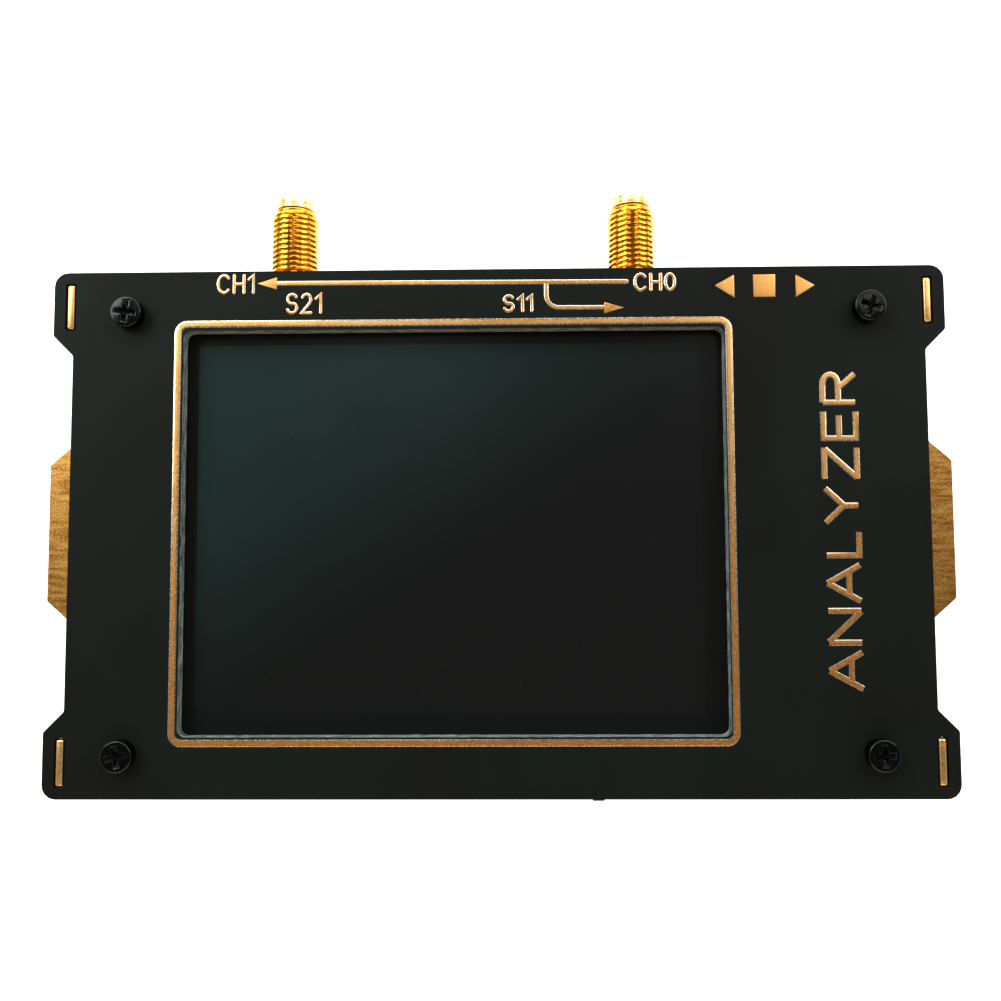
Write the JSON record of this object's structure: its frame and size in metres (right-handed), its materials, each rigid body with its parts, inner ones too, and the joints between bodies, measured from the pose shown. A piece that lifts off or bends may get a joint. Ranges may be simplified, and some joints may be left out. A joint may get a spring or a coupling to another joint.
{
  "type": "vector network analyzer",
  "caption": "Pocket vector network analyzer in a screwed sandwich of black circuit boards, with a touch screen, gold coaxial ports, push buttons and grip ears.",
  "frame": {"origin": "on the table under the middle of the bounding box, with the instrument lying on the heads of its four back screws", "axes": "+Z is the way the screen looks, +Y is the way the two coaxial ports point, +X is to the right as the screen is read"},
  "size_m": [0.1226, 0.0808, 0.022],
  "materials": {
    "black_board": "matte black solder mask on glass-epoxy board",
    "gold_board": "gold-plated copper on glass-epoxy board",
    "black_screw": "black-oxide steel",
    "brass_standoff": "turned brass",
    "gold_plate": "gold-plated brass",
    "white_ptfe": "white fluoropolymer",
    "black_plastic": "moulded black plastic",
    "bright_steel": "tinned or nickel-plated sheet steel",
    "screen_glass": "dark gloss touch panel",
    "screen_panel": "dark liquid-crystal panel",
    "white_plastic": "moulded white plastic",
    "ribbon": "amber flexible circuit",
    "cell_foil": "aluminium pouch foil",
    "foam_tape": "double-sided foam tape",
    "red_wire": "red silicone insulation",
    "black_wire": "black silicone insulation",
    "chip": "moulded epoxy package",
    "lamp": "clear lamp lens"
  },
  "bodies": {
    "case": {"back_panel": "black_board", "back_screw_lower_left": "black_screw", "back_screw_lower_right": "black_screw", "back_screw_upper_left": "black_screw", "back_screw_upper_right": "black_screw", "back_standoff_lower_left": "brass_standoff", "back_standoff_lower_right": "brass_standoff", "back_standoff_upper_left": "brass_standoff", "back_standoff_upper_right": "brass_standoff", "battery_cell": "cell_foil", "battery_lead_black": "black_wire", "battery_lead_red": "red_wire", "battery_plug": "white_plastic", "battery_socket": "white_plastic", "battery_tape": "foam_tape", "centre_button_body": "black_plastic", "ch0_port_body": "gold_plate", "ch0_port_contact": "gold_plate", "ch0_port_insulator": "white_ptfe", "ch0_shield_can": "bright_steel", "ch1_port_body": "gold_plate", "ch1_port_contact": "gold_plate", "ch1_port_insulator": "white_ptfe", "ch1_shield_can": "bright_steel", "charger_chip": "chip", "crystal": "bright_steel", "display_ribbon": "ribbon", "display_tray": "white_plastic", "front_panel": "black_board", "front_screw_lower_left": "black_screw", "front_screw_lower_right": "black_screw", "front_screw_upper_left": "black_screw", "front_screw_upper_right": "black_screw", "front_standoff_lower_left": "brass_standoff", "front_standoff_lower_right": "brass_standoff", "front_standoff_upper_left": "brass_standoff", "front_standoff_upper_right": "brass_standoff", "lcd_panel": "screen_panel", "left_button_body": "black_plastic", "left_side_board": "gold_board", "main_board": "gold_board", "mixer_chip": "chip", "power_inductor": "chip", "power_switch_body": "bright_steel", "processor_chip": "chip", "ribbon_connector": "white_plastic", "right_button_body": "black_plastic", "right_side_board": "gold_board", "signal_source_chip": "chip", "status_lamp": "lamp", "touch_panel": "screen_glass", "usb_shell": "bright_steel", "usb_tongue": "black_plastic"},
    "left_button": {"left_button_plunger": "black_plastic"},
    "centre_button": {"centre_button_plunger": "black_plastic"},
    "right_button": {"right_button_plunger": "black_plastic"},
    "power_slider": {"power_switch_slider": "black_plastic"}
  },
  "joints": [
    {"name": "left_button_press", "type": "slide", "parent": "case", "child": "left_button", "axis": [0, -1, 0], "range_m": [0, 0.00025], "stiffness_N_per_m": 6000},
    {"name": "centre_button_press", "type": "slide", "parent": "case", "child": "centre_button", "axis": [0, -1, 0], "range_m": [0, 0.00025], "stiffness_N_per_m": 6000},
    {"name": "right_button_press", "type": "slide", "parent": "case", "child": "right_button", "axis": [0, -1, 0], "range_m": [0, 0.00025], "stiffness_N_per_m": 6000},
    {"name": "power_switch_slide", "type": "slide", "parent": "case", "child": "power_slider", "axis": [1, 0, 0], "range_m": [0, 0.002]}
  ]
}
